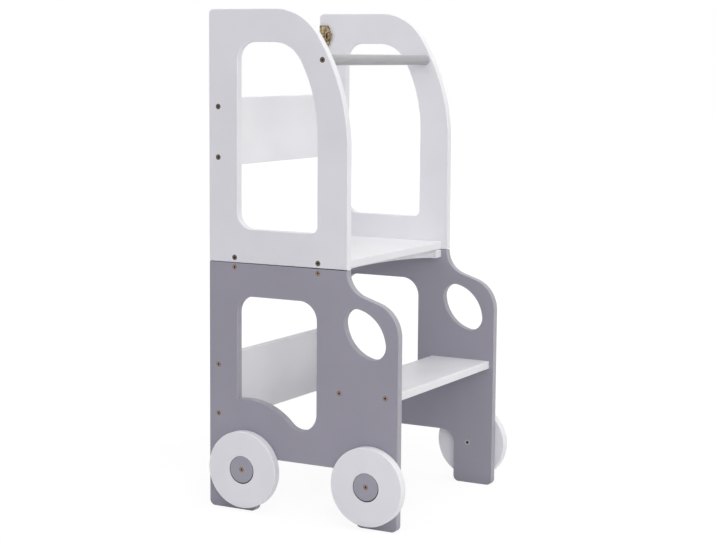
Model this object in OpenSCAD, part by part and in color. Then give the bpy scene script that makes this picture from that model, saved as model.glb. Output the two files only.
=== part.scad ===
// Toddler kitchen helper stool shaped like a lorry: a grey lower frame on wheels carries a
// white upper frame, which folds over backwards to make a table with a seat.
// Left and right are as seen by someone who stands in front of the bonnet and faces it.

/* [Overall] */
// Width over the outer faces of the side panels
overall_width = 408; // [370:1:450]
// Height of the lower frame, which is also the height of the table
frame_height = 450; // [435:1:480]
// Depth of the lower side panels, from the back edge to the tip of the bonnet
lower_depth = 386; // [376:1:410]
// Depth of the upper side panels and of the cab under them
cab_depth = 284; // [276:1:292]
// Thickness of the side panels and of all boards
board_t = 15; // [13:0.5:18]
// Height of the gap between the two frames
seam_gap = 0.8; // [0.5:0.1:1.2]
// Height by which the underside of the upper side panels rises towards the front
seam_rise = 1; // [0.2:0.1:1.6]

/* [Upper side panels] */
// Width of the upright rails beside the windows
side_rail = 60; // [50:1:66]
// Height of the rail over the upper windows
top_rail = 58; // [48:1:64]
// Height of the sill under the upper window
sill_rail = 61; // [50:1:75]
// Height over the seam where the front edge starts to bow back
bow_start = 205; // [180:1:225]
// Radius of the long bow of the front edge
bow_r = 354; // [340:1:375]
// Radius of the crown where the bow meets the top edge
crown_r = 102; // [92:1:115]
// Height over the seam where the window's front edge starts to bow back
window_bow_start = 228; // [216:1:240]
// Radius of the bow of the window's front edge
window_bow_r = 267; // [255:1:279]
// Radius of the corner where the window's bow meets its top edge
window_crown_r = 62; // [54:1:70]
// Radius of the window corners on the back side
window_r = 30; // [20:1:36]
// Radius of the upper window's lower front corner
toe_r = 12; // [6:1:20]
// Radius of the upper panels' top back corners
heel_r = 9; // [4:1:15]

/* [Lower side panels] */
// Radius of the hollow where the cab runs out into the bonnet
sweep_r = 46; // [38:1:54]
// Slope of the bonnet in degrees
bonnet_pitch = 18; // [12:1:24]
// Radius of the bonnet's nose
nose_r = 60; // [50:1:70]
// Radius of the lower window's upper front corner
brow_r = 35; // [25:1:40]
// Height of the rail over the lower windows
frame_rail = 59; // [48:1:64]
// Radius of the mudguard arc under the lower window, about the back wheel's centre
guard_r = 127; // [120:1:132]
// Radius of the lower window's lower front corner
dip_r = 32; // [27:1:36]
// Length of the oval lamp hole
lamp_l = 99; // [88:1:104]
// Width of the oval lamp hole
lamp_w = 65; // [58:0.5:70]
// Radius of the ends of the lamp hole
lamp_end_r = 24.5; // [22:0.5:27]
// Tilt of the lamp hole's long axis in degrees
lamp_tilt = 49; // [35:1:60]
// Distance of the lamp hole's centre behind the tip of the bonnet
lamp_setback = 66; // [62:1:70]
// Height of the lamp hole's centre over the floor
lamp_height = 342; // [330:1:345]
// Height of the arch between the feet
arch_height = 100; // [90:1:108]
// Radius of the arch's upper corners
arch_r = 27; // [20:1:34]
// Length of the back foot
back_foot = 100; // [94:1:110]
// Length of the front foot
front_foot = 81; // [74:1:90]
// Radius of the corners of the feet
foot_r = 11; // [6:1:16]

/* [Boards] */
// Depth of the standing platform and of the table top below it
platform_depth = 272; // [266:1:276]
// Height of the two back boards
back_board_h = 122; // [100:1:135]
// Distance of the back boards from the back edges
back_setback = 12; // [9:0.5:20]
// Height of the upper back board over the seam
upper_back_rise = 171; // [150:1:195]
// Height of the lower back board over the floor
lower_back_rise = 157; // [145:1:175]
// Height of the step's top over the floor
step_height = 242; // [225:1:255]
// Depth of the step
step_depth = 123; // [110:1:130]
// Distance of the step behind the tip of the bonnet
step_setback = 9; // [5:1:15]
// Width of the belly cut-out in the table top
belly_w = 336; // [280:1:345]
// Depth of the belly cut-out
belly_depth = 61; // [50:1:70]
// Radius of the ends of the belly cut-out
belly_end_r = 34; // [28:1:40]
// Radius of the boards' long edges
edge_r = 2; // [1:0.5:3]
// Diameter of the handle bar
bar_d = 19; // [16:1:24]
// Distance of the handle bar behind the upper panels' front edge
bar_setback = 51; // [46:1:54]
// Distance of the handle bar below the top
bar_drop = 88; // [80:1:100]

/* [Wheels] */
// Diameter of the wheels
wheel_d = 140; // [124:1:146]
// Thickness of the wheels
wheel_t = 17; // [14:0.5:19]
// Height of the wheel centres over the floor
wheel_height = 78; // [76:1:82]
// Distance of the back wheels' centres from the back edge
back_wheel = 80; // [78:1:84]
// Distance of the front wheels' centres behind the tip of the bonnet
front_wheel = 52; // [44:1:56]
// Gap between a wheel and its side panel
wheel_gap = 1; // [0.8:0.1:2]
// Diameter of the hub's visible disc
hub_d = 48; // [42:1:56]
// Thickness of the hub's visible disc
hub_disc_t = 6; // [5:0.5:7]
// Diameter of the hub's neck, on which the wheel turns
neck_d = 30; // [24:1:34]
// Gap round the hub's disc
hub_gap = 1.4; // [1.1:0.1:2]
// Height by which a wheel hangs below the middle of its hub
wheel_sag = 0.7; // [0.3:0.1:0.9]
// Running gap on top of the hub's neck and under its disc
neck_gap = 0.3; // [0.2:0.05:0.5]
// Radius of the wheels' edges
wheel_edge_r = 2; // [1:0.5:4]

/* [Hinges] */
// Length of a hinge
hinge_l = 50; // [42:1:60]
// Distance of a hinge's middle from the middle of the stool
hinge_offset = 110; // [90:1:120]
// Reach of a hinge leaf from the seam
hinge_reach = 13; // [12:0.5:13]
// Thickness of the hinge leaves
hinge_t = 1.5; // [1.2:0.1:1.8]
// Radius of the hinge knuckles
hinge_knuckle_r = 2.75; // [2.5:0.05:3.2]
// Radius of the corners of hinge and hasp plates
plate_r = 2; // [1:0.5:2.5]

/* [Hasps] */
// Height of a hasp along its pin
hasp_h = 41; // [38:1:50]
// Reach of a hasp's leaf from its pin
hasp_leaf = 20; // [18:1:22]
// Reach of a hasp's tongue from its pin
hasp_tongue = 26.5; // [25:0.5:28]
// Reach of the part of leaf and tongue that keeps the hasp's full height
hasp_shoulder = 16; // [14:0.5:17]
// Height of the tongue's tip
hasp_tip = 8; // [7:1:12]
// Distance of the middle of the tongue's slot from the pin
hasp_slot = 17; // [16.5:0.5:18]
// Distance of a hasp's middle below the top
hasp_drop = 43; // [38:1:55]
// Distance of a hasp's pin from the back edge
hasp_setback = 3.5; // [3:0.1:4.5]
// Thickness of the hasp's plates
hasp_t = 1.2; // [1:0.1:1.4]
// Radius of the hasp's knuckles
hasp_knuckle_r = 2.2; // [2:0.05:2.5]
// Length of the turn button that the tongue's slot goes over
button_l = 12; // [10:0.5:13]
// Width of the turn button
button_w = 6; // [5.8:0.1:7]
// Thickness of the turn button
button_t = 2.4; // [2:0.1:3]
// Diameter of the post under the turn button
post_d = 5; // [4.5:0.1:5.5]

/* [Screws] */
// Diameter of the heads of the assembly screws and wheel bolts
screw_head_d = 10; // [9:0.5:11]
// Diameter of the assembly screws under the head
screw_neck_d = 7; // [6:0.5:7.5]
// Diameter of the assembly screws in the boards
screw_core_d = 5; // [4.5:0.1:5.5]
// Length of the assembly screws
screw_l = 50; // [40:1:60]
// Width of the sockets in the heads of screws and bolts
screw_socket = 4; // [3:0.5:4.5]
// Distance of the screws from the edges of back boards and step
screw_inset = 16; // [13:0.5:20]
// Distance of the platform's back screws from its back edge
back_inset = 54; // [45:1:65]
// Distance of the platform's front screws from its front edge
front_inset = 46; // [38:1:58]
// Height of the platform's screws over the middle of its edge
platform_lift = 1.5; // [0:0.5:2]
// Diameter of the wheel bolts
bolt_d = 6; // [5:0.5:7]
// Diameter of the threaded inserts that take the wheel bolts
insert_d = 10; // [9.5:0.5:12]
// Length of the threaded inserts
insert_l = 12; // [9:0.5:12.5]
// Diameter of the heads of the small screws
small_head_d = 5; // [4.5:0.1:5.2]
// Diameter of the small screws
small_d = 2.6; // [2.4:0.1:3]
// Length of the small screws
small_l = 12; // [9:0.5:12.5]

/* [Hidden] */
$fn = 96;
SIDES = [-1, 1];

// Fits
screw_gap = 0.15;
pin_gap = 0.08;
knuckle_gap = 0.3;
slot_gap = 1;
overrun = 1;

// Shares of a plate's length and reach at which its screws sit
screw_length_share = 0.36;
screw_reach_share = 0.6;
knuckle_count = 5;

// Colours
white_paint = [0.93, 0.93, 0.94];
grey_paint = [0.56, 0.55, 0.60];
bronze = [0.55, 0.42, 0.26];
brass = [0.68, 0.55, 0.30];
steel = [0.62, 0.62, 0.64];

// Outlines of the side panels are drawn with the distance from the back edge as X and the
// height over the floor as Y. A place is a pair of the same two values.
half_w = overall_width / 2;
inner_half_w = half_w - board_t;
seam_z = frame_height + seam_gap;
top_z = 2 * frame_height;
fold_z = frame_height + seam_gap / 2;
window_front = cab_depth - side_rail;
wheel_r = wheel_d / 2;
front_wheel_s = lower_depth - front_wheel;
back_reach = 2 * hinge_knuckle_r;
front_reach = max(lower_depth, front_wheel_s + wheel_r);
back_y = (front_reach - back_reach) / 2;
step_front = lower_depth - step_setback;
upper_back_z = seam_z + upper_back_rise;

bar_place = [cab_depth - bar_setback, top_z - bar_drop];
platform_screw_z = seam_z + board_t / 2 + platform_lift;
platform_places = [for (s = [back_inset, platform_depth - front_inset]) [s, platform_screw_z]];
table_places = [for (p = platform_places) [p[0], frame_height - board_t / 2]];
back_board_places = [for (z = [screw_inset, back_board_h - screw_inset])
    [back_setback + board_t / 2, z]];
upper_back_places = [for (p = back_board_places) p + [0, upper_back_z]];
lower_back_places = [for (p = back_board_places) p + [0, lower_back_rise]];
step_places = [for (s = [step_depth - screw_inset, screw_inset])
    [step_front - s, step_height - board_t / 2]];
wheel_places = [[back_wheel, wheel_height], [front_wheel_s, wheel_height]];
hub_places = [for (p = wheel_places) p + [0, wheel_sag]];

// Helpers

// Turns an outline into a side panel
module side_panel(side) {
    translate([max(side * half_w, side * inner_half_w), back_y, 0]) rotate([90, 0, -90])
        linear_extrude(board_t) children();
}

// Puts children drawn with +Z as the way out of the panel on the outer face at each place
module on_outer_face(side, places) {
    for (p = places) translate([side * half_w, back_y - p[0], p[1]]) rotate([0, side * 90, 0])
        children();
}

// The same on both side panels
module on_both_faces(places) {
    for (side = SIDES) on_outer_face(side, places) children();
}

// Mirrors what is drawn for the right side to the left one
module mirrored(side) {
    mirror([side < 0 ? 1 : 0, 0, 0]) children();
}

// A board between the side panels with rounded long edges
module cross_board(back, depth, bottom, height) {
    translate([inner_half_w, back_y, 0]) rotate([90, 0, -90]) linear_extrude(2 * inner_half_w)
        translate([back, bottom]) rounded_plate(depth, height, edge_r);
}

// A rectangle with its corners rounded
module rounded_plate(w, h, r) {
    translate([r, 0]) square([w - 2 * r, h]);
    translate([0, r]) square([w, h - 2 * r]);
    for (x = [r, w - r], y = [r, h - r]) translate([x, y]) circle(r);
}

// What a rounding takes off the corner whose panel lies on the dx, dy side of it
module corner_waste(corner, r, dx, dy) {
    translate(corner + [dx > 0 ? -overrun : -r, dy > 0 ? -overrun : -r]) difference() {
        square(r + overrun);
        translate([dx > 0 ? r + overrun : 0, dy > 0 ? r + overrun : 0]) circle(r);
    }
}

// An oval of four tangent arcs with half length a and half width b
module oval(a, b, end_r) {
    long_r = ((a - end_r) * (a - end_r) + b * b - end_r * end_r) / (2 * (b - end_r));
    tangent_x = long_r * (a - end_r) / (long_r - end_r);
    for (side = SIDES) translate([side * (a - end_r), 0]) circle(end_r);
    intersection() {
        translate([0, b - long_r]) circle(long_r);
        translate([0, long_r - b]) circle(long_r);
        square([2 * tangent_x, 2 * b], center = true);
    }
}

// A slot with round ends, along X
module stadium(length, width) {
    straight = length - width;
    square([straight, width], center = true);
    for (side = SIDES) translate([side * straight / 2, 0]) circle(d = width);
}

function unit(v) = v / norm(v);

// A convex outline through points, with each corner rounded
module rounded_outline(points, r) {
    n = len(points);
    corners = [for (i = [0:n - 1]) let (
        a = unit(points[(i + n - 1) % n] - points[i]),
        b = unit(points[(i + 1) % n] - points[i]),
        half = acos(a * b) / 2
    ) [for (v = [a / tan(half), unit(a + b) / sin(half), b / tan(half)]) points[i] + r * v]];
    polygon([for (c = corners, k = [0, 2]) c[k]]);
    for (c = corners) translate(c[1]) circle(r);
}

// A shape between back and front whose front edge is upright up to start_z, then follows a
// bow and a crown that are tangent to each other and to the top edge
module bowed(back, front, bottom, top, start_z, long_r, short_r) {
    long_c = [front - long_r, start_z];
    rise = top - short_r - start_z;
    run = sqrt(pow(long_r - short_r, 2) - rise * rise);
    short_c = [long_c[0] + run, top - short_r];
    turn = atan2(rise, run);
    intersection() {
        union() {
            translate([back, bottom]) square([short_c[0] - back, top - bottom]);
            translate([back, bottom]) square([front - back, start_z - bottom]);
            translate(short_c) circle(short_r);
            translate(long_c) intersection() {
                circle(long_r);
                polygon([for (a = [0, -turn, turn]) a == 0 ? [0, 0] : 2 * long_r * [cos(a), sin(a)]]);
            }
        }
        translate([back, bottom]) square([front - back, top - bottom]);
    }
}

// Screws, drawn along Z with the face of the head at the origin and the point down

module countersunk_head(d, head_d) {
    cone = (head_d - d) / 2;
    translate([0, 0, -cone]) cylinder(h = cone, d1 = d, d2 = head_d);
}

module countersink(d, head_d) {
    cone = (head_d - d) / 2;
    room = d + 2 * screw_gap;
    translate([0, 0, -cone])
        cylinder(h = cone + overrun, d1 = room, d2 = room + 2 * (cone + overrun));
}

// An assembly screw through a side panel into a board
module assembly_screw() {
    neck = board_t - screw_gap;
    cone = (screw_head_d - screw_neck_d) / 2;
    tip = screw_core_d / 2;
    difference() {
        union() {
            countersunk_head(screw_neck_d, screw_head_d);
            translate([0, 0, -neck]) cylinder(h = neck - cone, d = screw_neck_d);
            translate([0, 0, tip - screw_l]) cylinder(h = screw_l - neck - tip, d = screw_core_d);
            translate([0, 0, -screw_l]) cylinder(h = tip, d1 = tip, d2 = screw_core_d);
        }
        translate([0, 0, -cone - tip]) cylinder(h = screw_l, d = screw_socket, $fn = 6);
    }
}

// Its hole in the side panel
module panel_hole() {
    translate([0, 0, -board_t - overrun])
        cylinder(h = board_t + 2 * overrun, d = screw_neck_d + 2 * screw_gap);
    countersink(screw_neck_d, screw_head_d);
}

// Its hole in the board
module board_hole() {
    depth = screw_l + screw_gap;
    translate([0, 0, -depth]) cylinder(h = depth, d = screw_core_d + 2 * screw_gap);
}

module assembly_screws(places) {
    color(bronze) on_both_faces(places) assembly_screw();
}

// A small screw with a cross recess
module small_screw() {
    head = (small_head_d - small_d) / 2;
    difference() {
        union() {
            countersunk_head(small_d, small_head_d);
            translate([0, 0, head - small_l]) cylinder(h = small_l - 2 * head, d = small_d);
            translate([0, 0, -small_l]) cylinder(h = head, d1 = head, d2 = small_d);
        }
        for (turn = [0, 90]) rotate(turn) cube([small_d, small_d / 4, head], center = true);
    }
}

module small_hole() {
    depth = small_l + screw_gap;
    translate([0, 0, -depth]) cylinder(h = depth, d = small_d + 2 * screw_gap);
    countersink(small_d, small_head_d);
}

// Upper frame

module upper_window() {
    sill = seam_z + sill_rail;
    lintel = top_z - top_rail;
    difference() {
        bowed(side_rail, window_front, sill, lintel, seam_z + window_bow_start,
            window_bow_r, window_crown_r);
        corner_waste([side_rail, lintel], window_r, 1, -1);
        corner_waste([side_rail, sill], window_r, 1, 1);
        corner_waste([window_front, sill], toe_r, -1, 1);
    }
}

module upper_outline() {
    difference() {
        bowed(0, cab_depth, seam_z, top_z, seam_z + bow_start, bow_r, crown_r);
        corner_waste([0, top_z], heel_r, 1, -1);
        polygon([[0, seam_z - overrun], [0, seam_z], [cab_depth, seam_z + seam_rise],
            [cab_depth + overrun, seam_z + seam_rise], [cab_depth + overrun, seam_z - overrun]]);
        upper_window();
    }
}

module upper_side_panel(side) {
    color(white_paint) difference() {
        side_panel(side) upper_outline();
        on_outer_face(side, concat([bar_place], upper_back_places, platform_places)) panel_hole();
        at_hasp(side) at_hasp_screws() small_hole();
    }
}

module platform_board() {
    color(white_paint) difference() {
        cross_board(0, platform_depth, seam_z, board_t);
        on_both_faces(platform_places) board_hole();
        for (side = SIDES) at_hinge(side, 1) at_hinge_screws() small_hole();
    }
}

module upper_back_board() {
    color(white_paint) difference() {
        cross_board(back_setback, board_t, upper_back_z, back_board_h);
        on_both_faces(upper_back_places) board_hole();
    }
}

module handle_bar() {
    color(grey_paint) difference() {
        translate([0, back_y - bar_place[0], bar_place[1]]) rotate([0, 90, 0])
            cylinder(h = 2 * inner_half_w, d = bar_d, center = true);
        on_both_faces([bar_place]) board_hole();
    }
}

// Lower frame

// The bonnet: a hollow sweeps out of the cab's front edge into a slope, which ends in the nose
module bonnet() {
    normal = [sin(bonnet_pitch), cos(bonnet_pitch)];
    sweep_c = [cab_depth + sweep_r, frame_height];
    sweep_end = sweep_c - sweep_r * normal;
    nose_s = lower_depth - nose_r;
    nose_z = (sweep_end * normal - nose_r - nose_s * normal[0]) / normal[1];
    nose_c = [nose_s, nose_z];
    difference() {
        polygon([[0, 0], [lower_depth, 0], [lower_depth, nose_z], nose_c,
            nose_c + nose_r * normal, sweep_end, sweep_c, [0, frame_height]]);
        translate(sweep_c) circle(sweep_r);
    }
    translate(nose_c) circle(nose_r);
}

module foot_arch() {
    front = lower_depth - front_foot;
    difference() {
        translate([back_foot, -overrun]) square([front - back_foot, arch_height + overrun]);
        corner_waste([back_foot, arch_height], arch_r, 1, -1);
        corner_waste([front, arch_height], arch_r, -1, -1);
    }
}

// The lower window: its bottom edge follows the mudguard arc and dips to the front corner
module lower_window() {
    lintel = frame_height - frame_rail;
    guard_c = [back_wheel, wheel_height];
    dip_s = window_front - dip_r;
    dip_z = wheel_height + sqrt(pow(guard_r + dip_r, 2) - pow(dip_s - back_wheel, 2));
    dip_c = [dip_s, dip_z];
    tangent_point = guard_c + guard_r / (guard_r + dip_r) * (dip_c - guard_c);
    difference() {
        union() {
            translate([side_rail, dip_z]) square([window_front - side_rail, lintel - dip_z]);
            polygon([[back_wheel, dip_z + dip_r], [back_wheel, dip_z], tangent_point, dip_c,
                dip_c + [0, dip_r]]);
            translate(dip_c) circle(dip_r);
        }
        translate(guard_c) circle(guard_r);
        corner_waste([side_rail, lintel], window_r, 1, -1);
        corner_waste([window_front, lintel], brow_r, -1, -1);
    }
}

module lamp_hole() {
    translate([lower_depth - lamp_setback, lamp_height]) rotate(-lamp_tilt)
        oval(lamp_l / 2, lamp_w / 2, lamp_end_r);
}

module lower_outline() {
    difference() {
        bonnet();
        foot_arch();
        lower_window();
        lamp_hole();
        for (s = [0, lower_depth - front_foot]) corner_waste([s, 0], foot_r, 1, 1);
        for (s = [back_foot, lower_depth]) corner_waste([s, 0], foot_r, -1, 1);
    }
}

module lower_side_panel(side) {
    color(grey_paint) difference() {
        side_panel(side) lower_outline();
        on_outer_face(side, concat(table_places, step_places, lower_back_places)) panel_hole();
        on_outer_face(side, hub_places) bolt_hole();
        at_post_screw(side) small_hole();
    }
}

module table_top_board() {
    bottom = frame_height - board_t;
    color(white_paint) difference() {
        cross_board(0, platform_depth, bottom, board_t);
        translate([0, back_y - platform_depth, bottom - overrun])
            linear_extrude(board_t + 2 * overrun) oval(belly_w / 2, belly_depth, belly_end_r);
        on_both_faces(table_places) board_hole();
        for (side = SIDES) at_hinge(side, -1) at_hinge_screws() small_hole();
    }
}

module step_board() {
    color(white_paint) difference() {
        cross_board(step_front - step_depth, step_depth, step_height - board_t, board_t);
        on_both_faces(step_places) board_hole();
    }
}

module lower_back_board() {
    color(white_paint) difference() {
        cross_board(back_setback, board_t, lower_back_rise, back_board_h);
        on_both_faces(lower_back_places) board_hole();
    }
}

// Wheels, drawn along Z from the outer face of the side panel

hub_face = wheel_gap + wheel_t;
neck_l = hub_face - hub_disc_t;

// A hub stands on the side panel with its neck and holds the wheel with its disc
module hub() {
    color(grey_paint) difference() {
        union() {
            cylinder(h = hub_face, d = neck_d);
            translate([0, 0, neck_l]) cylinder(h = hub_disc_t, d = hub_d);
        }
        translate([0, 0, -overrun])
            cylinder(h = hub_face + 2 * overrun, d = bolt_d + 2 * screw_gap);
        translate([0, 0, hub_face]) countersink(bolt_d, screw_head_d);
    }
}

// A wheel is a ring with a stepped bore that hangs on the hub's neck behind its disc
module wheel() {
    r = wheel_edge_r;
    bore_r = neck_d / 2 + wheel_sag + neck_gap;
    seat_r = hub_d / 2 + hub_gap;
    color(white_paint) translate([0, 0, wheel_gap]) rotate_extrude() {
        translate([bore_r, 0]) square([wheel_r - r - bore_r, neck_l - neck_gap - wheel_gap]);
        translate([seat_r, 0]) square([wheel_r - r - seat_r, wheel_t]);
        translate([seat_r, r]) square([wheel_r - seat_r, wheel_t - 2 * r]);
        for (z = [r, wheel_t - r]) translate([wheel_r - r, z]) circle(r);
    }
}

module wheel_bolt() {
    cone = (screw_head_d - bolt_d) / 2;
    reach = hub_face + board_t - overrun;
    translate([0, 0, hub_face]) difference() {
        union() {
            countersunk_head(bolt_d, screw_head_d);
            translate([0, 0, -reach]) cylinder(h = reach - cone, d = bolt_d);
        }
        translate([0, 0, -cone - bolt_d / 4]) cylinder(h = reach, d = screw_socket, $fn = 6);
    }
}

// A threaded insert lies flush in the inner face of the side panel
module wheel_insert() {
    translate([0, 0, -board_t]) difference() {
        cylinder(h = insert_l, d = insert_d);
        translate([0, 0, -overrun])
            cylinder(h = insert_l + 2 * overrun, d = bolt_d + 2 * screw_gap);
    }
}

module bolt_hole() {
    inner = -board_t - overrun;
    translate([0, 0, inner]) cylinder(h = board_t + 2 * overrun, d = bolt_d + 2 * screw_gap);
    translate([0, 0, inner])
        cylinder(h = overrun + insert_l + screw_gap, d = insert_d + 2 * screw_gap);
}

// Hinged plates, drawn with the pin along X at the origin and +Y as the way out of the wood

// A plate of thickness t whose back lies at y
module plate_at(y, t) {
    translate([0, y + t, 0]) rotate([90, 0, 0]) linear_extrude(t) children();
}

// The knuckles of a barrel of which a leaf has every second one, from the one numbered first
module knuckles(length, first, r) {
    pitch = length / knuckle_count;
    for (i = [first:2:knuckle_count - 1])
        translate([(i + 1 / 2) * pitch - length / 2, 0, 0]) rotate([0, 90, 0])
            cylinder(h = pitch - knuckle_gap, r = r, center = true);
}

// What a leaf leaves for the pin and for the other leaf's knuckles
module barrel_room(length, first, r) {
    pitch = length / knuckle_count;
    rotate([0, 90, 0]) cylinder(h = length + 2 * overrun, r = r / 2 + pin_gap, center = true);
    for (i = [1 - first:2:knuckle_count - 1])
        translate([(i + 1 / 2) * pitch - length / 2, 0, 0]) rotate([0, 90, 0])
            cylinder(h = pitch + knuckle_gap, r = r + knuckle_gap, center = true);
}

// A pin with a flat head at each end
module barrel_pin(length, r) {
    head = r / 3;
    color(steel) rotate([0, 90, 0]) {
        cylinder(h = length + 2 * head, r = r / 2, center = true);
        for (side = SIDES) translate([0, 0, side * (length + head) / 2])
            cylinder(h = head, r = r - head, center = true);
    }
}

module leaf_outline(length, reach) {
    difference() {
        translate([-length / 2, 0]) square([length, reach]);
        for (side = SIDES) corner_waste([side * length / 2, reach], plate_r, -side, -1);
    }
}

// Puts children on the face of a leaf at the places of its screws
module at_leaf_screws(length, y, z) {
    for (i = SIDES, k = [0, 1]) if (k == 1 || i > 0)
        translate([i * k * length * screw_length_share, y, z]) rotate([-90, 0, 0]) children();
}

// Hinges

// Puts a hinge leaf drawn upwards on the platform's or, with up at -1, the table top's edge
module at_hinge(side, up) {
    translate([side * hinge_offset, back_y + hinge_knuckle_r, fold_z])
        mirror([0, 0, up < 0 ? 1 : 0]) children();
}

module at_hinge_screws() {
    at_leaf_screws(hinge_l, hinge_t - hinge_knuckle_r, (board_t + seam_gap) / 2) children();
}

module hinge_leaf(first) {
    color(brass) difference() {
        union() {
            plate_at(-hinge_knuckle_r, hinge_t) leaf_outline(hinge_l, hinge_reach);
            knuckles(hinge_l, first, hinge_knuckle_r);
        }
        barrel_room(hinge_l, first, hinge_knuckle_r);
        at_hinge_screws() small_hole();
    }
}

module hinge_screws(up) {
    color(brass) for (side = SIDES) at_hinge(side, up) at_hinge_screws() small_screw();
}

// Hasps

hasp_axis = hasp_knuckle_r + knuckle_gap;
slot_l = button_l + 2 * slot_gap;
slot_w = button_w + 2 * slot_gap;
post_h = hasp_t + 2 * knuckle_gap;
hasp_place = [hasp_setback, top_z - hasp_drop];
post_place = [hasp_slot - hasp_setback - back_reach, 2 * fold_z - hasp_place[1]];

// Puts a hasp drawn with its leaf upwards on the inner face of the upper side panel, so that
// the leaf points to the front
module at_hasp(side) {
    mirrored(side) translate([inner_half_w - hasp_axis, back_y - hasp_place[0], hasp_place[1]])
        rotate([90, -90, 0]) children();
}

module at_hasp_screws() {
    at_leaf_screws(hasp_h, hasp_t - hasp_axis, hasp_leaf * screw_reach_share) children();
}

// Leaf and tongue have one outline, which tapers from the shoulders to the tongue's tip
module hasp_outline(reach) {
    taper_share = (reach - hasp_shoulder) / (hasp_tongue - hasp_shoulder);
    half_h = (hasp_h + taper_share * (hasp_tip - hasp_h)) / 2;
    right = [[hasp_h / 2, 0], [hasp_h / 2, hasp_shoulder], [half_h, reach]];
    left = [for (i = [2:-1:0]) [-right[i][0], right[i][1]]];
    rounded_outline(concat(right, left), plate_r);
}

module hasp_leaf_plate() {
    color(brass) difference() {
        union() {
            plate_at(-hasp_axis, hasp_t) hasp_outline(hasp_leaf);
            knuckles(hasp_h, 0, hasp_knuckle_r);
        }
        barrel_room(hasp_h, 0, hasp_knuckle_r);
        at_hasp_screws() small_hole();
    }
}

// The tongue lies folded over the leaf, and its slot goes over the turn button when it is out
module hasp_tongue_plate() {
    color(brass) difference() {
        union() {
            plate_at(hasp_knuckle_r - hasp_t, hasp_t) hasp_outline(hasp_tongue);
            knuckles(hasp_h, 1, hasp_knuckle_r);
        }
        barrel_room(hasp_h, 1, hasp_knuckle_r);
        plate_at(hasp_knuckle_r - hasp_t - overrun, hasp_t + 2 * overrun)
            translate([0, hasp_slot]) stadium(slot_l, slot_w);
    }
}

// Puts children drawn upwards on the inner face of the lower side panel at the post
module at_post(side) {
    mirrored(side) translate([inner_half_w, back_y - post_place[0], post_place[1]])
        rotate([0, -90, 0]) children();
}

module at_post_screw(side) {
    at_post(side) translate([0, 0, post_h + button_t]) children();
}

module hasp_post(side) {
    color(brass) difference() {
        at_post(side) cylinder(h = post_h, d = post_d);
        at_post_screw(side) small_hole();
    }
}

// The turn button turns on its screw, a quarter turn from along the slot to across it
module hasp_button(side) {
    color(brass) difference() {
        at_post(side) translate([0, 0, post_h]) linear_extrude(button_t)
            stadium(button_l, button_w);
        at_post_screw(side) small_hole();
    }
}

upper_side_panel(-1);  // upper_side_panel_left
upper_side_panel(1);  // upper_side_panel_right
platform_board();
upper_back_board();
handle_bar();
assembly_screws([bar_place]);  // handle_bar_screws
assembly_screws(upper_back_places);  // upper_back_board_screws
assembly_screws(platform_places);  // platform_screws
lower_side_panel(-1);  // lower_side_panel_left
lower_side_panel(1);  // lower_side_panel_right
table_top_board();
step_board();
lower_back_board();
assembly_screws(table_places);  // table_top_screws
assembly_screws(step_places);  // step_screws
assembly_screws(lower_back_places);  // lower_back_board_screws
on_outer_face(-1, [hub_places[0]]) hub();  // hub_back_left
on_outer_face(1, [hub_places[0]]) hub();  // hub_back_right
on_outer_face(-1, [hub_places[1]]) hub();  // hub_front_left
on_outer_face(1, [hub_places[1]]) hub();  // hub_front_right
on_outer_face(-1, [wheel_places[0]]) wheel();  // wheel_back_left
on_outer_face(1, [wheel_places[0]]) wheel();  // wheel_back_right
on_outer_face(-1, [wheel_places[1]]) wheel();  // wheel_front_left
on_outer_face(1, [wheel_places[1]]) wheel();  // wheel_front_right
color(bronze) on_both_faces(hub_places) wheel_bolt();  // wheel_bolts
color(steel) on_both_faces(hub_places) wheel_insert();  // wheel_inserts
at_hinge(-1, -1) hinge_leaf(0);  // hinge_lower_leaf_left
at_hinge(1, -1) hinge_leaf(0);  // hinge_lower_leaf_right
at_hinge(-1, 1) hinge_leaf(1);  // hinge_upper_leaf_left
at_hinge(1, 1) hinge_leaf(1);  // hinge_upper_leaf_right
at_hinge(-1, 1) barrel_pin(hinge_l, hinge_knuckle_r);  // hinge_pin_left
at_hinge(1, 1) barrel_pin(hinge_l, hinge_knuckle_r);  // hinge_pin_right
hinge_screws(-1);  // hinge_lower_screws
hinge_screws(1);  // hinge_upper_screws
at_hasp(-1) hasp_leaf_plate();  // hasp_leaf_left
at_hasp(1) hasp_leaf_plate();  // hasp_leaf_right
at_hasp(-1) barrel_pin(hasp_h, hasp_knuckle_r);  // hasp_pin_left
at_hasp(1) barrel_pin(hasp_h, hasp_knuckle_r);  // hasp_pin_right
at_hasp(-1) hasp_tongue_plate();  // hasp_tongue_left
at_hasp(1) hasp_tongue_plate();  // hasp_tongue_right
color(brass)  // hasp_leaf_screws
    for (side = SIDES) at_hasp(side) at_hasp_screws() small_screw();
hasp_post(-1);  // hasp_post_left
hasp_post(1);  // hasp_post_right
hasp_button(-1);  // hasp_button_left
hasp_button(1);  // hasp_button_right
color(brass)  // hasp_post_screws
    for (side = SIDES) at_post_screw(side) small_screw();
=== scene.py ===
"""Dresses a toddler kitchen helper stool in satin paint and plated metal, in a small studio."""

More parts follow.
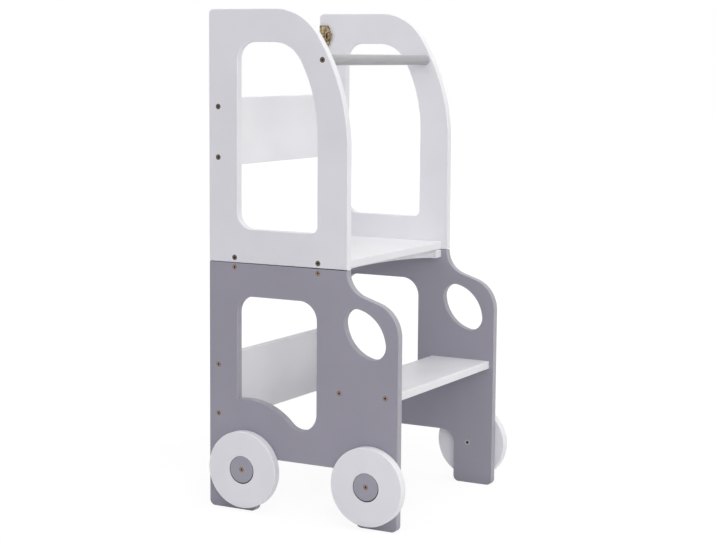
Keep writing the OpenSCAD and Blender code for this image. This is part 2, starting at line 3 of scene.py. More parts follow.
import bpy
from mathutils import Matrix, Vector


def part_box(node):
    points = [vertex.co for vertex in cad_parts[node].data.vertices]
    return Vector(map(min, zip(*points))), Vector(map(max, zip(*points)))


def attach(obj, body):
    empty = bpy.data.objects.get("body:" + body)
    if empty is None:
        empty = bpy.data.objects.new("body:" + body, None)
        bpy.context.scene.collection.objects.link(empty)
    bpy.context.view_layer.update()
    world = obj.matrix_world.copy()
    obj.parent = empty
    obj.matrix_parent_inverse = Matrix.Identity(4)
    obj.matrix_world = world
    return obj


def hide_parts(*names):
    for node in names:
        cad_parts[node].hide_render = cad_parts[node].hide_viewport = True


bl_info = {
    "name": "Kitchen helper stool",
    "version": (1, 0, 0),
    "blender": (4, 5, 0),
    "location": "3D View > Sidebar > Stool",
    "description": "Finishes the pieces of a kitchen helper stool and sets up a studio for it",
    "category": "Object",
}

import math

import bmesh
import bpy
from bpy.props import FloatProperty, FloatVectorProperty, IntProperty, PointerProperty
from mathutils import Matrix, Vector

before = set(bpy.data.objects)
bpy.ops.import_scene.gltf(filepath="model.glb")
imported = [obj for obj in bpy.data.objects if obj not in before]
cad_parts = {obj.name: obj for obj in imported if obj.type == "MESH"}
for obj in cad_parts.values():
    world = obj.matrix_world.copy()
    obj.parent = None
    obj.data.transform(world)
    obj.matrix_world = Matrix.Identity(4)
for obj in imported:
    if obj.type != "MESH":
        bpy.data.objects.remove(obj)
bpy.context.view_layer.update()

SIDE_PANELS = {
    "upper_side_panel_left": ("upper_frame", "white_paint"),
    "upper_side_panel_right": ("upper_frame", "white_paint"),
    "lower_side_panel_left": ("lower_frame", "grey_paint"),
    "lower_side_panel_right": ("lower_frame", "grey_paint"),
}
BOARDS = {
    "platform_board": "upper_frame",
    "upper_back_board": "upper_frame",
    "table_top_board": "lower_frame",
    "step_board": "lower_frame",
    "lower_back_board": "lower_frame",
}
WHEELS = ("wheel_back_left", "wheel_back_right", "wheel_front_left", "wheel_front_right")

# Marks on a mesh that its paint reads.
ROUNDED, CUT = "rounded", "cut"

# In a copied node, how far apart doubled corners may lie, and how far triangles of one flat face may turn.
DOUBLES_WITHIN = 1e-5
FLAT_WITHIN = math.radians(0.3)

# How far two faces turn where their edge is crisp enough to be rounded, and where it is shaded sharp.
CRISP_FROM = math.radians(60)
SHARP_FROM = math.radians(40)

# How much of a face's normal lies along an axis: the least on a face square to it, and the most and least on
# the rounding beside such a face.
SQUARE_ON = 0.99
ROUNDED_UP_TO = 0.98
ROUNDED_FROM = 0.1

# How far a level edge may rise.
LEVEL_WITHIN = 1e-4

# In a gap or a socket, how far behind the face the painted shade starts and is whole, and how dark it is.
FACE_SKIN = 0.0003
HIDDEN_DEPTH = 0.0012
PAINTED_RECESS_SHADE = 0.10

PAINT_IOR = 1.47

# The floor lies a hair under the feet. Its glow is white to the eye, and the shadow on it fades between two
# distances from the middle.
FLOOR_DROP = 0.0002
FLOOR_FIELDS = 8
FLOOR_GLOW = 1.05
SHADOW_REACH = (0.5, 1.5)

# The softboxes face the middle of the stool.
LAMP_TARGET = (0, 0, 0.45)

SENSOR_WIDTH = 36.0
NEAR_CLIP, FAR_CLIP = 0.05, 100.0


# ---------------------------------------------------------------- sizes and colours


class StoolSizes(bpy.types.PropertyGroup):
    panel_round: FloatProperty(
        name="Panel edge", description="Rounding along the outlines of the side panels' outer faces",
        default=0.0016, min=0.0005, max=0.003, unit="LENGTH", precision=4)
    inner_round: FloatProperty(
        name="Inner panel edge", description="Rounding along the outlines of the side panels' inner faces",
        default=0.0012, min=0.0005, max=0.003, unit="LENGTH", precision=4)
    board_round: FloatProperty(
        name="Board edge", description="Rounding along the long edges that a board's solid leaves crisp",
        default=0.0015, min=0.0005, max=0.003, unit="LENGTH", precision=4)
    round_steps: IntProperty(
        name="Rounding steps", description="Facets across a rounded edge", default=4, min=2, max=8)
    smallest_outline: FloatProperty(
        name="Smallest outline", description="Outlines smaller than this, such as screw holes, stay crisp",
        default=0.03, min=0.005, max=0.1, unit="LENGTH")
    # Within this radius round the axle, the wheel behind its face takes a painted shade.
    wheel_seat: FloatProperty(
        name="Wheel seat", description="Radius round the axle within which a wheel is dark behind its face",
        default=0.0256, min=0.02, max=0.04, unit="LENGTH", precision=4)


class StoolColours(bpy.types.PropertyGroup):
    white_paint: FloatVectorProperty(
        name="White paint", description="Satin paint of the upper frame and boards",
        default=(0.86, 0.857, 0.890), min=0, max=1, subtype="COLOR")
    # The white paint made lighter for the wheels: a lit copy of it, as painted light on them.
    lit_wheel_paint: FloatVectorProperty(
        name="Wheel paint", description="Satin white paint of the wheels",
        default=(0.900, 0.897, 0.930), min=0, max=1, subtype="COLOR")
    grey_paint: FloatVectorProperty(
        name="Grey paint", description="Satin paint of the lower side panels",
        default=(0.358, 0.346, 0.407), min=0, max=1, subtype="COLOR")
    # Paler grey on the cut edges: a painted highlight that stands in for light reaching them.
    cut_edge_highlight_grey: FloatVectorProperty(
        name="Grey cut edges", description="Grey paint on the lower panels' cut edges, where it dries paler",
        default=(0.402, 0.391, 0.438), min=0, max=1, subtype="COLOR")
    hub_paint: FloatVectorProperty(
        name="Hub paint", description="Satin paint of the wheel hubs",
        default=(0.383, 0.373, 0.434), min=0, max=1, subtype="COLOR")
    bar_paint: FloatVectorProperty(
        name="Bar paint", description="Paint of the handle bar",
        default=(0.396, 0.391, 0.411), min=0, max=1, subtype="COLOR")
    dark_bronze: FloatVectorProperty(
        name="Dark bronze", description="Plating of the upper frame's assembly screws",
        default=(0.156, 0.124, 0.108), min=0, max=1, subtype="COLOR")
    bronze: FloatVectorProperty(
        name="Bronze", description="Plating of the lower frame's assembly screws and the wheel bolts",
        default=(0.300, 0.225, 0.185), min=0, max=1, subtype="COLOR")
    brass: FloatVectorProperty(
        name="Antique brass", description="Plating of the hinges and hasps",
        default=(0.41, 0.322, 0.203), min=0, max=1, subtype="COLOR")
    steel: FloatVectorProperty(
        name="Steel", description="Zinc plating of pins and threaded inserts",
        default=(0.55, 0.55, 0.56), min=0, max=1, subtype="COLOR")
    floor: FloatVectorProperty(
        name="Floor", description="Plain pale floor",
        default=(0.90, 0.90, 0.90), min=0, max=1, subtype="COLOR")


class StoolStudio(bpy.types.PropertyGroup):
    key_power: FloatProperty(
        name="Top softbox", description="Power of the large softbox overhead",
        default=40, min=0, unit="POWER")
    front_power: FloatProperty(
        name="Front softbox", description="Power of the softbox before the open front",
        default=36, min=0, unit="POWER")
    side_power: FloatProperty(
        name="Side softbox", description="Power of the softbox beside the camera",
        default=129, min=0, unit="POWER")
    softbox_tint: FloatVectorProperty(
        name="Softbox tint", description="Colour of the light from the softboxes",
        default=(0.99, 1.0, 0.94), min=0, max=1, subtype="COLOR")
    room_light: FloatProperty(
        name="Room light", description="Soft light from the near side, which fades to none on the far side",
        default=0.51, min=0, max=2)
    room_tint: FloatVectorProperty(
        name="Room tint", description="Colour of the soft light from the near side",
        default=(0.88, 0.855, 1.0), min=0, max=1, subtype="COLOR")
    floor_shadow: FloatProperty(
        name="Floor shadow", description="How much of the stool's shadow the floor shows",
        default=0.15, min=0, max=1, subtype="FACTOR")
    floor_size: FloatProperty(
        name="Floor size", description="Side length of the floor",
        default=40, min=4, unit="LENGTH")
    lens: FloatProperty(
        name="Lens", description="Focal length of the camera",
        default=87.6, min=10, unit="CAMERA")
    lens_shift: FloatVectorProperty(
        name="Lens shift", description="Shift of the picture across and up, as shares of its width",
        size=2, default=(0.01205, -0.00112), precision=5)
    camera_place: FloatVectorProperty(
        name="Camera", description="Where the camera stands",
        default=(-2.8094, -1.5373, 0.8216), subtype="XYZ", unit="LENGTH")
    camera_turn: FloatVectorProperty(
        name="Camera turn", description="Turns of the camera about X, Y and Z",
        default=(math.radians(82.970), math.radians(-0.415), math.radians(-60.892)), subtype="EULER")


# ---------------------------------------------------------------- materials


class Signal:
    """A socket that takes part in sums and products. Each one adds the Math node that works it out."""

    def __init__(self, finish, socket):
        self.finish, self.socket = finish, socket

    def _maths(self, operation, first, second):
        return self.finish.node("ShaderNodeMath", {"operation": operation}, {0: first, 1: second})

    def __add__(self, other):
        return self._maths("ADD", self, other)

    def __radd__(self, other):
        return self._maths("ADD", other, self)

    def __sub__(self, other):
        return self._maths("SUBTRACT", self, other)

    def __rsub__(self, other):
        return self._maths("SUBTRACT", other, self)

    def __mul__(self, other):
        return self._maths("MULTIPLY", self, other)

    def __rmul__(self, other):
        return self._maths("MULTIPLY", other, self)

    def __abs__(self):
        return self._maths("ABSOLUTE", self, 0.0)


class Finish:
    """Builds one material or world out of nodes."""

    def __init__(self, owner):
        self.owner = owner
        owner.use_nodes = True
        self.tree = owner.node_tree
        self.tree.nodes.clear()

    def node(self, kind, settings=None, sockets=None, output=0):
        """Adds a node and gives one of its outputs. Its settings come first, then the values or links of its
        sockets."""
        made = self.tree.nodes.new(kind)
        for name, value in (settings or {}).items():
            setattr(made, name, value)
        for name, value in (sockets or {}).items():
            if isinstance(value, Signal):
                self.tree.links.new(value.socket, made.inputs[name])
            else:
                made.inputs[name].default_value = value
        return Signal(self, made.outputs[output]) if made.outputs else None

    def place(self):
        """The point on the piece, in the frame's metres."""
        return self.node("ShaderNodeTexCoord", output="Object")

    def part(self, at, axis):
        """One coordinate of a point."""
        return self.node("ShaderNodeSeparateXYZ", None, {0: at}, output=axis)

    def mark(self, name):
        """How much of a mark the piece's mesh carries here."""
        return self.node("ShaderNodeAttribute", {"attribute_name": name}, output="Fac")

    def noise(self, at, scale, detail=2.0, roughness=0.5):
        """Cloudy noise round 0.5, with so many clouds to the metre."""
        return self.node(
            "ShaderNodeTexNoise", None,
            {"Vector": at, "Scale": scale, "Detail": detail, "Roughness": roughness})

    def stretched(self, at, stretch):
        """The point with each coordinate times its stretch, for a noise that runs along one way."""
        return self.node("ShaderNodeVectorMath", {"operation": "MULTIPLY"}, {0: at, 1: stretch})

    def step(self, value, low, high):
        """0 below low, 1 above high and smooth between them."""
        return self.node(
            "ShaderNodeMapRange", {"interpolation_type": "SMOOTHSTEP"},
            {"Value": value, "From Min": low, "From Max": high})

    def mix(self, first, second, share):
        """From the first colour to the second one."""
        return self.node("ShaderNodeMix", {"data_type": "RGBA"}, {0: share, 6: first, 7: second}, output=2)

    def bump(self, height, distance, strength):
        """Small relief, whose height from 0 to 1 stands for a distance in metres."""
        return self.node(
            "ShaderNodeBump", None, {"Height": height, "Distance": distance, "Strength": strength})

    def shown(self):
        """1 on the rays from the camera, and on those that metal or glass mirrors or lets through."""
        seen, mirrored, through = (
            self.node("ShaderNodeLightPath", output=ray)
            for ray in ("Is Camera Ray", "Is Glossy Ray", "Is Transmission Ray"))
        return seen + mirrored + through

    def surface(self, sockets):
        """Closes a material with its surface."""
        coat = self.node("ShaderNodeBsdfPrincipled", None, sockets)
        self.node("ShaderNodeOutputMaterial", None, {"Surface": coat})
        return self.owner


def shade(colour, by):
    """A colour, lighter or darker, for a colour socket."""
    return (*(min(1.0, part * by) for part in colour), 1.0)


def new_finish(name):
    """An empty material to build a finish in."""
    return Finish(bpy.data.materials.new(name))


def face_of(node):
    """How far from the middle plane the outer faces of a node's pieces lie."""
    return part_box(node)[1].x


def behind_face(finish, at, face):
    """1 behind the outer faces that lie so far from the middle plane, 0 on them."""
    return 1 - finish.step(abs(finish.part(at, "X")), face - HIDDEN_DEPTH, face - FACE_SKIN)


def near_axles(finish, at, radius):
    """1 within the radius round the axis of each wheel."""
    back, front = (
        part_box(node)[0].lerp(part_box(node)[1], 0.5) for node in ("wheel_back_left", "wheel_front_left"))
    off_y = abs(abs(finish.part(at, "Y") - (back.y + front.y) / 2) - abs(back.y - front.y) / 2)
    off_z = finish.part(at, "Z") - back.z
    return 1 - finish.step(off_y * off_y + off_z * off_z, radius ** 2, (radius + FACE_SKIN) ** 2)


def satin_paint(name, colour, softness, dust, gap_shade=None, cut=None):
    """Sprayed satin paint with orange peel, a cloudy sheen, fine rubbed hairlines and dusty feet. Its rounded
    edges are painted lighter, partly rubbed wear and partly a painted highlight. In gaps behind a face it
    takes a dark painted shade, and where a cut colour is given its cut edges take it, paler: a painted
    highlight where light reaches them."""
    finish = new_finish(name)
    at = finish.place()
    cloud = finish.noise(at, scale=7.0, detail=3.0)
    peel = finish.noise(at, scale=380.0)
    flow = finish.noise(at, scale=60.0)
    grain = finish.noise(at, scale=1700.0, detail=1.0)
    hair = finish.noise(finish.stretched(at, (260.0, 9.0, 14.0)), scale=1.0, detail=3.0, roughness=0.65)
    hairlines = finish.step(hair, 0.66, 0.72) * finish.step(cloud, 0.48, 0.62)
    wear_and_edge_highlight = finish.mark(ROUNDED) * finish.step(flow, 0.36, 0.62)
    ragged_height = finish.part(at, "Z") + 0.012 * finish.noise(at, scale=90.0, detail=3.0)
    dusty = (1 - finish.step(ragged_height, 0.006, 0.030)) * dust
    tone = finish.mix(shade(colour, 0.975), shade(colour, 1.02), finish.step(cloud, 0.3, 0.7))
    # Cut edges painted paler: a painted highlight that stands in for light reaching them.
    if cut:
        cut_edge_highlight = finish.mix(shade(cut, 0.97), shade(cut, 1.03), finish.step(flow, 0.3, 0.7))
        tone = finish.mix(tone, cut_edge_highlight, finish.mark(CUT))
    # Rounded edges painted lighter: partly rubbed wear, partly a painted highlight where light catches the
    # rounding.
    tone = finish.mix(tone, shade(colour, 1.07), wear_and_edge_highlight * 0.7)
    tone = finish.mix(tone, shade(colour, 0.90), hairlines * 0.35)
    tone = finish.mix(tone, shade(colour, 0.80), dusty)
    # Painted shade, dark, in the gaps behind a face.
    if gap_shade:
        tone = finish.mix(tone, shade(colour, PAINTED_RECESS_SHADE), gap_shade(finish, at))
    uneven = 0.10 * (cloud - 0.5) + 0.06 * (grain - 0.5)
    rough = softness + uneven + 0.05 * hairlines - 0.09 * wear_and_edge_highlight + 0.15 * dusty
    relief = 0.6 * peel + 1.6 * flow + 0.12 * grain - 0.5 * hairlines
    return finish.surface({
        "Base Color": tone, "Roughness": rough, "IOR": PAINT_IOR,
        "Normal": finish.bump(relief, distance=0.00006, strength=0.8)})


def turned_bar_paint(name, colour):
    """Thin paint on a turned bar: the wood's grain runs along it and hands have polished its middle."""
    finish = new_finish(name)
    at = finish.place()
    grain = finish.noise(finish.stretched(at, (14.0, 420.0, 420.0)), scale=1.0, detail=4.0, roughness=0.6)
    pore = finish.noise(finish.stretched(at, (40.0, 1300.0, 1300.0)), scale=1.0)
    pores = finish.step(pore, 0.62, 0.70)
    cloud = finish.noise(at, scale=16.0, detail=3.0)
    middle = 1 - finish.step(abs(finish.part(at, "X")), 0.05, 0.15)
    held = middle * finish.step(cloud, 0.35, 0.6)
    tone = finish.mix(shade(colour, 0.94), shade(colour, 1.05), finish.step(grain, 0.35, 0.65))
    tone = finish.mix(tone, shade(colour, 0.82), pores * 0.35)
    rough = 0.46 + 0.10 * (cloud - 0.5) - 0.10 * held + 0.08 * pores
    return finish.surface({
        "Base Color": tone, "Roughness": rough, "IOR": PAINT_IOR,
        "Normal": finish.bump(0.7 * grain - 0.6 * pores, distance=0.00010, strength=0.7)})


def plated(name, colour, dark, bright, softness, mottle=900.0, face=None):
    """Plated metal with a cloudy patina and rubbed high spots. Behind the face, as in a socket, it takes a
    painted shade, nearly black."""
    finish = new_finish(name)
    at = finish.place()
    patina = finish.noise(at, scale=mottle, detail=4.0, roughness=0.6)
    fine = finish.noise(at, scale=5200.0)
    brushed = finish.noise(finish.stretched(at, (900.0, 900.0, 7000.0)), scale=1.0)
    tone = finish.mix(shade(colour, dark), shade(colour, bright), finish.step(patina, 0.36, 0.64))
    tone = finish.mix(tone, shade(colour, bright * 1.3), finish.step(fine, 0.62, 0.75) * 0.5)
    rough = softness + 0.22 * (patina - 0.5) + 0.10 * (brushed - 0.5)
    metal = 1.0
    if face:
        # Painted shade in the socket behind the face, with more roughness and less metal.
        socket_shade = behind_face(finish, at, face)
        tone = finish.mix(tone, shade(colour, PAINTED_RECESS_SHADE), socket_shade)
        rough = rough + 0.25 * socket_shade
        metal = 1 - 0.6 * socket_shade
    relief = 0.6 * fine + 0.8 * patina + 0.3 * brushed
    return finish.surface({
        "Base Color": tone, "Roughness": rough, "Metallic": metal,
        "Normal": finish.bump(relief, distance=0.00003, strength=0.7)})


def white_paint(name, scene):
    return satin_paint(name, scene.stool_colours.white_paint, softness=0.42, dust=0.35)


# The wheels take a lighter copy of the white paint, as painted light.
def lit_wheel_paint(name, scene):
    face, seat = face_of("wheel_back_right"), scene.stool_sizes.wheel_seat
    # Painted shade in the gap round each hub, behind the wheel's face.
    return satin_paint(
        name, scene.stool_colours.lit_wheel_paint, softness=0.42, dust=0.35,
        gap_shade=lambda finish, at: behind_face(finish, at, face) * near_axles(finish, at, seat))


def grey_paint(name, scene):
    colours = scene.stool_colours
    return satin_paint(name, colours.grey_paint, softness=0.44, dust=0.45, cut=colours.cut_edge_highlight_grey)


def hub_paint(name, scene):
    face = face_of("hub_back_right")
    # Painted shade on the hub behind its outer face, in the gap round it.
    return satin_paint(
        name, scene.stool_colours.hub_paint, softness=0.44, dust=0.20,
        gap_shade=lambda finish, at: behind_face(finish, at, face))


def bar_paint(name, scene):
    return turned_bar_paint(name, scene.stool_colours.bar_paint)


def dark_screws(name, scene):
    return plated(
        name, scene.stool_colours.dark_bronze, dark=0.55, bright=1.25, softness=0.40,
        face=face_of("platform_screws"))


def bronze_screws(name, scene):
    return plated(
        name, scene.stool_colours.bronze, dark=0.70, bright=1.15, softness=0.42, face=face_of("step_screws"))


def bronze_bolts(name, scene):
    return plated(
        name, scene.stool_colours.bronze, dark=0.70, bright=1.15, softness=0.42, face=face_of("wheel_bolts"))


def antique_brass(name, scene):
    return plated(name, scene.stool_colours.brass, dark=0.22, bright=1.30, softness=0.36, mottle=240.0)


def hinge_brass(name, scene):
    return plated(name, scene.stool_colours.brass, dark=0.50, bright=0.95, softness=0.38, mottle=130.0)


def steel(name, scene):
    return plated(name, scene.stool_colours.steel, dark=0.75, bright=1.10, softness=0.34)


FINISHES = {
    make.__name__: make
    for make in (
        white_paint, lit_wheel_paint, grey_paint, hub_paint, bar_paint, dark_screws, bronze_screws, bronze_bolts,
        antique_brass, hinge_brass, steel)
}


def material(context, name):
    """The finish of that name, made the first time it is asked for."""
    full = "stool_" + name
    return bpy.data.materials.get(full) or FINISHES[name](full, context.scene)


# ---------------------------------------------------------------- pieces


def dress(context, finish, *nodes):
    """A CAD node keeps its shape and takes a finish."""
    for node in nodes:
        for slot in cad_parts[node].material_slots:
            slot.link = "OBJECT"
            slot.material = material(context, finish)


def merged_copy(node):
    """The node's mesh, joined up and freed of the triangles inside its flat faces."""
    shape = bmesh.new()
    shape.from_mesh(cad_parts[node].data)
    bmesh.ops.remove_doubles(shape, verts=shape.verts, dist=DOUBLES_WITHIN)
    bmesh.ops.dissolve_limit(shape, angle_limit=FLAT_WITHIN, verts=shape.verts, edges=shape.edges)
    return shape


def outlines(edges):
    """Groups of edges that hang together end to end."""
    left = set(edges)
    while left:
        group, front = [], [left.pop()]
        while front:
            edge = front.pop()
            group.append(edge)
            for corner in edge.verts:
                for other in corner.link_edges:
                    if other in left:
                        left.remove(other)
                        front.append(other)
        yield group


def reach(edges):
    """Longest side of the box round some edges."""
    points = [corner.co for edge in edges for corner in edge.verts]
    return max(max(p[axis] for p in points) - min(p[axis] for p in points) for axis in range(3))


def crisp_edges(shape, wanted, smallest):
    """The crisp edges that are wanted, along outlines of at least the smallest size."""
    crisp = [
        edge for edge in shape.edges
        if edge.is_manifold and edge.calc_face_angle() > CRISP_FROM and wanted(edge)]
    large = {edge for group in outlines(crisp) if reach(group) >= smallest for edge in group}
    return [edge for edge in crisp if edge in large]


def round_over(shape, edges, radius, steps):
    """Rounds some edges of a piece."""
    bmesh.ops.bevel(
        shape, geom=edges, offset=radius, offset_type="OFFSET", affect="EDGES", segments=steps, profile=0.5,
        material=-1, clamp_overlap=False)


def finished_piece(context, shape, name, body, finish, slot, node, marks):
    """Turns a bmesh into a piece that rides on a body in a node's place. Each mark is 1 on the faces whose
    normal its test picks. The slot, the record's paint of which the finish may be one kind, is not used."""
    for mark, picks in marks.items():
        layer = shape.loops.layers.float.new(mark)
        for face in shape.faces:
            face.smooth = True
            for corner in face.loops:
                corner[layer] = float(picks(face.normal))
    mesh = bpy.data.meshes.new(name)
    shape.to_mesh(mesh)
    shape.free()
    mesh.set_sharp_from_angle(angle=SHARP_FROM)
    mesh.materials.append(material(context, finish))
    piece = bpy.data.objects.new(name, mesh)
    context.scene.collection.objects.link(piece)
    weighted = piece.modifiers.new("Even faces", "WEIGHTED_NORMAL")
    weighted.keep_sharp = True
    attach(piece, body)
    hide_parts(node)


def at_face(way):
    """A test for the edges of the faces that look that way along X."""
    return lambda edge: any(face.normal.x * way > SQUARE_ON for face in edge.link_faces)


def along_board(edge):
    """Whether an edge runs along a board, and not up it or round one of its ends."""
    start, end = (corner.co for corner in edge.verts)
    off_the_ends = all(abs(face.normal.x) < SQUARE_ON for face in edge.link_faces)
    return off_the_ends and abs(start.z - end.z) < LEVEL_WITHIN


def rounded_side(normal):
    """Whether a face is part of the rounding round one that looks left or right."""
    return ROUNDED_FROM < abs(normal.x) < ROUNDED_UP_TO


def cut_side(normal):
    """Whether a face is a cut edge of a panel or its rounding."""
    return abs(normal.x) < ROUNDED_UP_TO


def rounded_board(normal):
    """Whether a face of a board is square to no axis."""
    return max(abs(part) for part in normal) < ROUNDED_UP_TO


class STOOL_OT_side_panels(bpy.types.Operator):
    """Give the four side panels rounded outlines and paint"""

    bl_idname = "stool.side_panels"
    bl_label = "Side panels"

    def execute(self, context):
        sizes = context.scene.stool_sizes
        for node, (body, finish) in SIDE_PANELS.items():
            shape = merged_copy(node)
            outwards = math.copysign(1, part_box(node)[0].x)
            for way, radius in ((outwards, sizes.panel_round), (-outwards, sizes.inner_round)):
                edges = crisp_edges(shape, at_face(way), sizes.smallest_outline)
                if not edges:
                    raise RuntimeError("no edge to round on " + node)
                round_over(shape, edges, radius, sizes.round_steps)
            finished_piece(
                context, shape, node + "_painted", body, finish, finish, node,
                {ROUNDED: rounded_side, CUT: cut_side})
        return {"FINISHED"}


class STOOL_OT_boards(bpy.types.Operator):
    """Paint the five boards and soften the edges that are still crisp"""

    bl_idname = "stool.boards"
    bl_label = "Boards"

    def execute(self, context):
        sizes = context.scene.stool_sizes
        for node, body in BOARDS.items():
            shape = merged_copy(node)
            edges = crisp_edges(shape, along_board, sizes.smallest_outline)
            if edges:
                round_over(shape, edges, sizes.board_round, sizes.round_steps)
            finished_piece(
                context, shape, node + "_painted", body, "white_paint", "white_paint", node,
                {ROUNDED: rounded_board})
        return {"FINISHED"}


class STOOL_OT_handle_bar(bpy.types.Operator):
    """Paint the handle bar"""

    bl_idname = "stool.handle_bar"
    bl_label = "Handle bar"

    def execute(self, context):
        dress(context, "bar_paint", "handle_bar")
        return {"FINISHED"}


class STOOL_OT_wheels(bpy.types.Operator):
    """Paint the four wheels and their hubs"""

    bl_idname = "stool.wheels"
    bl_label = "Wheels and hubs"

    def execute(self, context):
        for node in WHEELS:
            finished_piece(
                context, merged_copy(node), node + "_painted", node, "lit_wheel_paint", "white_paint", node,
                {ROUNDED: rounded_side})
        dress(context, "hub_paint", "hub_back_left", "hub_back_right", "hub_front_left", "hub_front_right")
        return {"FINISHED"}


class STOOL_OT_screws(bpy.types.Operator):
    """Plate the assembly screws, wheel bolts and threaded inserts"""

    bl_idname = "stool.screws"
    bl_label = "Screws and bolts"

    def execute(self, context):
        dress(context, "dark_screws", "handle_bar_screws", "upper_back_board_screws", "platform_screws")
        dress(context, "bronze_screws", "table_top_screws", "step_screws", "lower_back_board_screws")
        dress(context, "bronze_bolts", "wheel_bolts")
        dress(context, "steel", "wheel_inserts")
        return {"FINISHED"}


class STOOL_OT_hinges(bpy.types.Operator):
    """Plate the two butt hinges, their pins and screws"""

    bl_idname = "stool.hinges"
    bl_label = "Hinges"

    def execute(self, context):
        dress(
            context, "hinge_brass", "hinge_lower_leaf_left", "hinge_lower_leaf_right",
            "hinge_upper_leaf_left", "hinge_upper_leaf_right")
        dress(context, "antique_brass", "hinge_lower_screws", "hinge_upper_screws")
        dress(context, "steel", "hinge_pin_left", "hinge_pin_right")
        return {"FINISHED"}


class STOOL_OT_hasps(bpy.types.Operator):
    """Plate the two swivel hasps, their posts, turn buttons, pins and screws"""

    bl_idname = "stool.hasps"
    bl_label = "Hasps"

    def execute(self, context):
        dress(
            context, "antique_brass", "hasp_leaf_left", "hasp_leaf_right", "hasp_leaf_screws",
            "hasp_tongue_left", "hasp_tongue_right", "hasp_post_left", "hasp_post_right", "hasp_post_screws",
            "hasp_button_left", "hasp_button_right")
        dress(context, "steel", "hasp_pin_left", "hasp_pin_right")
        return {"FINISHED"}


# ---------------------------------------------------------------- studio


def lay_floor(context):
    """A plain floor, white to the eye but for the stool's shadow, which fades with the distance."""
    studio, colours = context.scene.stool_studio, context.scene.stool_colours
    shape = bmesh.new()
    bmesh.ops.create_grid(
        shape, x_segments=FLOOR_FIELDS, y_segments=FLOOR_FIELDS, size=studio.floor_size / 2,
        matrix=Matrix.Translation((0, 0, -FLOOR_DROP)))
    mesh = bpy.data.meshes.new("floor")
    shape.to_mesh(mesh)
    shape.free()
    floor = bpy.data.objects.new("floor", mesh)
    context.scene.collection.objects.link(floor)
    finish = new_finish("studio_floor")
    at = finish.place()
    cloud = finish.noise(at, scale=1.3)
    tone = finish.mix(shade(colours.floor, 0.99), shade(colours.floor, 1.0), cloud)
    lit = finish.node("ShaderNodeBsdfDiffuse", None, {"Color": tone, "Roughness": 0.6})
    bright = finish.node("ShaderNodeEmission", None, {"Color": (1, 1, 1, 1), "Strength": FLOOR_GLOW})
    away = finish.node("ShaderNodeVectorMath", {"operation": "LENGTH"}, {0: at}, output="Value")
    dull = studio.floor_shadow * (1 - finish.step(away, *SHADOW_REACH))
    both = finish.node("ShaderNodeMixShader", None, {0: finish.shown() * (1 - dull), 1: lit, 2: bright})
    finish.node("ShaderNodeOutputMaterial", None, {"Surface": both})
    mesh.materials.append(finish.owner)


def light_room(context):
    """A room that is white to the eye and gives soft light from the near side."""
    studio = context.scene.stool_studio
    context.scene.world = bpy.data.worlds.new("studio_room")
    room = Finish(context.scene.world)
    way = room.node("ShaderNodeTexCoord", output="Generated")
    glow = studio.room_light * (0.5 - 0.5 * room.part(way, "X"))
    soft = room.node(
        "ShaderNodeBackground", None, {"Color": shade(studio.room_tint, 1.0), "Strength": glow})
    white = room.node("ShaderNodeBackground", None, {"Color": (1, 1, 1, 1), "Strength": 1.0})
    both = room.node("ShaderNodeMixShader", None, {0: room.shown(), 1: soft, 2: white})
    room.node("ShaderNodeOutputWorld", None, {"Surface": both})


def softbox(context, name, place, size, power):
    """Hangs a square softbox that faces the stool."""
    lamp = bpy.data.lights.new(name, "AREA")
    lamp.shape, lamp.size, lamp.energy = "SQUARE", size, power
    lamp.color = context.scene.stool_studio.softbox_tint
    stand = bpy.data.objects.new(name, lamp)
    stand.location = place
    stand.rotation_euler = (Vector(LAMP_TARGET) - Vector(place)).to_track_quat("-Z", "Y").to_euler()
    context.scene.collection.objects.link(stand)


def set_up_camera(context):
    """Stands the camera at the front left, about level with the handle bar."""
    studio = context.scene.stool_studio
    lens = bpy.data.cameras.new("camera")
    lens.sensor_fit, lens.sensor_width, lens.lens = "HORIZONTAL", SENSOR_WIDTH, studio.lens
    lens.shift_x, lens.shift_y = studio.lens_shift
    lens.clip_start, lens.clip_end = NEAR_CLIP, FAR_CLIP
    camera = bpy.data.objects.new("camera", lens)
    camera.location = studio.camera_place
    camera.rotation_euler = studio.camera_turn
    context.scene.collection.objects.link(camera)
    context.scene.camera = camera


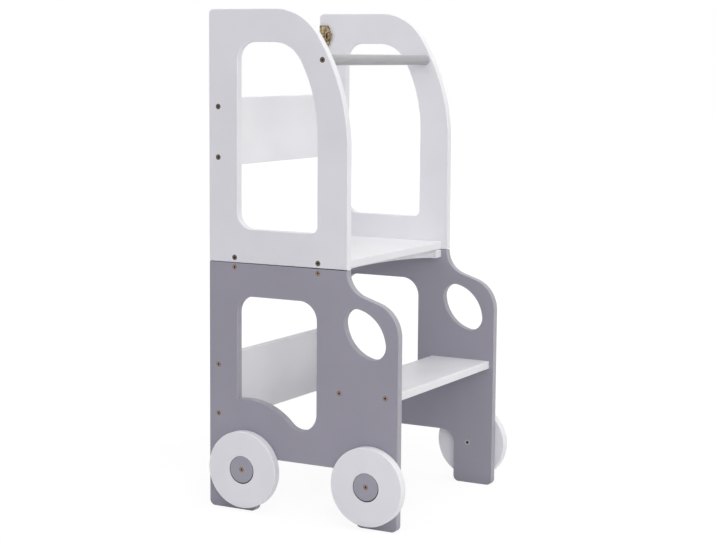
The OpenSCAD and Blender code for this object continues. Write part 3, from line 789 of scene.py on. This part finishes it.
class STOOL_OT_studio(bpy.types.Operator):
    """Lay the floor, hang the softboxes and set up the camera"""

    bl_idname = "stool.studio"
    bl_label = "Studio"

    def execute(self, context):
        studio = context.scene.stool_studio
        lay_floor(context)
        light_room(context)
        softbox(context, "softbox_above", place=(0.0, 0.1, 2.6), size=3.0, power=studio.key_power)
        softbox(context, "softbox_front", place=(0.3, -3.3, 1.6), size=2.0, power=studio.front_power)
        softbox(context, "softbox_side", place=(-5.2, -4.4, 3.6), size=4.0, power=studio.side_power)
        set_up_camera(context)
        context.scene.view_settings.view_transform = "Standard"
        return {"FINISHED"}


# ---------------------------------------------------------------- panel and start


STEPS = (
    STOOL_OT_side_panels,
    STOOL_OT_boards,
    STOOL_OT_handle_bar,
    STOOL_OT_wheels,
    STOOL_OT_screws,
    STOOL_OT_hinges,
    STOOL_OT_hasps,
    STOOL_OT_studio,
)


class VIEW3D_PT_stool(bpy.types.Panel):
    bl_label = "Stool"
    bl_idname = "VIEW3D_PT_stool"
    bl_space_type = "VIEW_3D"
    bl_region_type = "UI"
    bl_category = "Stool"

    def draw(self, context):
        scene = context.scene
        for group in (scene.stool_sizes, scene.stool_colours, scene.stool_studio):
            box = self.layout.box()
            for name in group.__annotations__:
                box.prop(group, name)
        column = self.layout.column()
        for step in STEPS:
            column.operator(step.bl_idname)


CLASSES = (StoolSizes, StoolColours, StoolStudio, *STEPS, VIEW3D_PT_stool)


def register():
    for each in CLASSES:
        bpy.utils.register_class(each)
    bpy.types.Scene.stool_sizes = PointerProperty(type=StoolSizes)
    bpy.types.Scene.stool_colours = PointerProperty(type=StoolColours)
    bpy.types.Scene.stool_studio = PointerProperty(type=StoolStudio)


def unregister():
    del bpy.types.Scene.stool_studio
    del bpy.types.Scene.stool_colours
    del bpy.types.Scene.stool_sizes
    for each in reversed(CLASSES):
        bpy.utils.unregister_class(each)


def main():
    register()
    bpy.ops.stool.side_panels()
    bpy.ops.stool.boards()
    bpy.ops.stool.handle_bar()
    bpy.ops.stool.wheels()
    bpy.ops.stool.screws()
    bpy.ops.stool.hinges()
    bpy.ops.stool.hasps()
    bpy.ops.stool.studio()


if __name__ == "__main__":
    main()
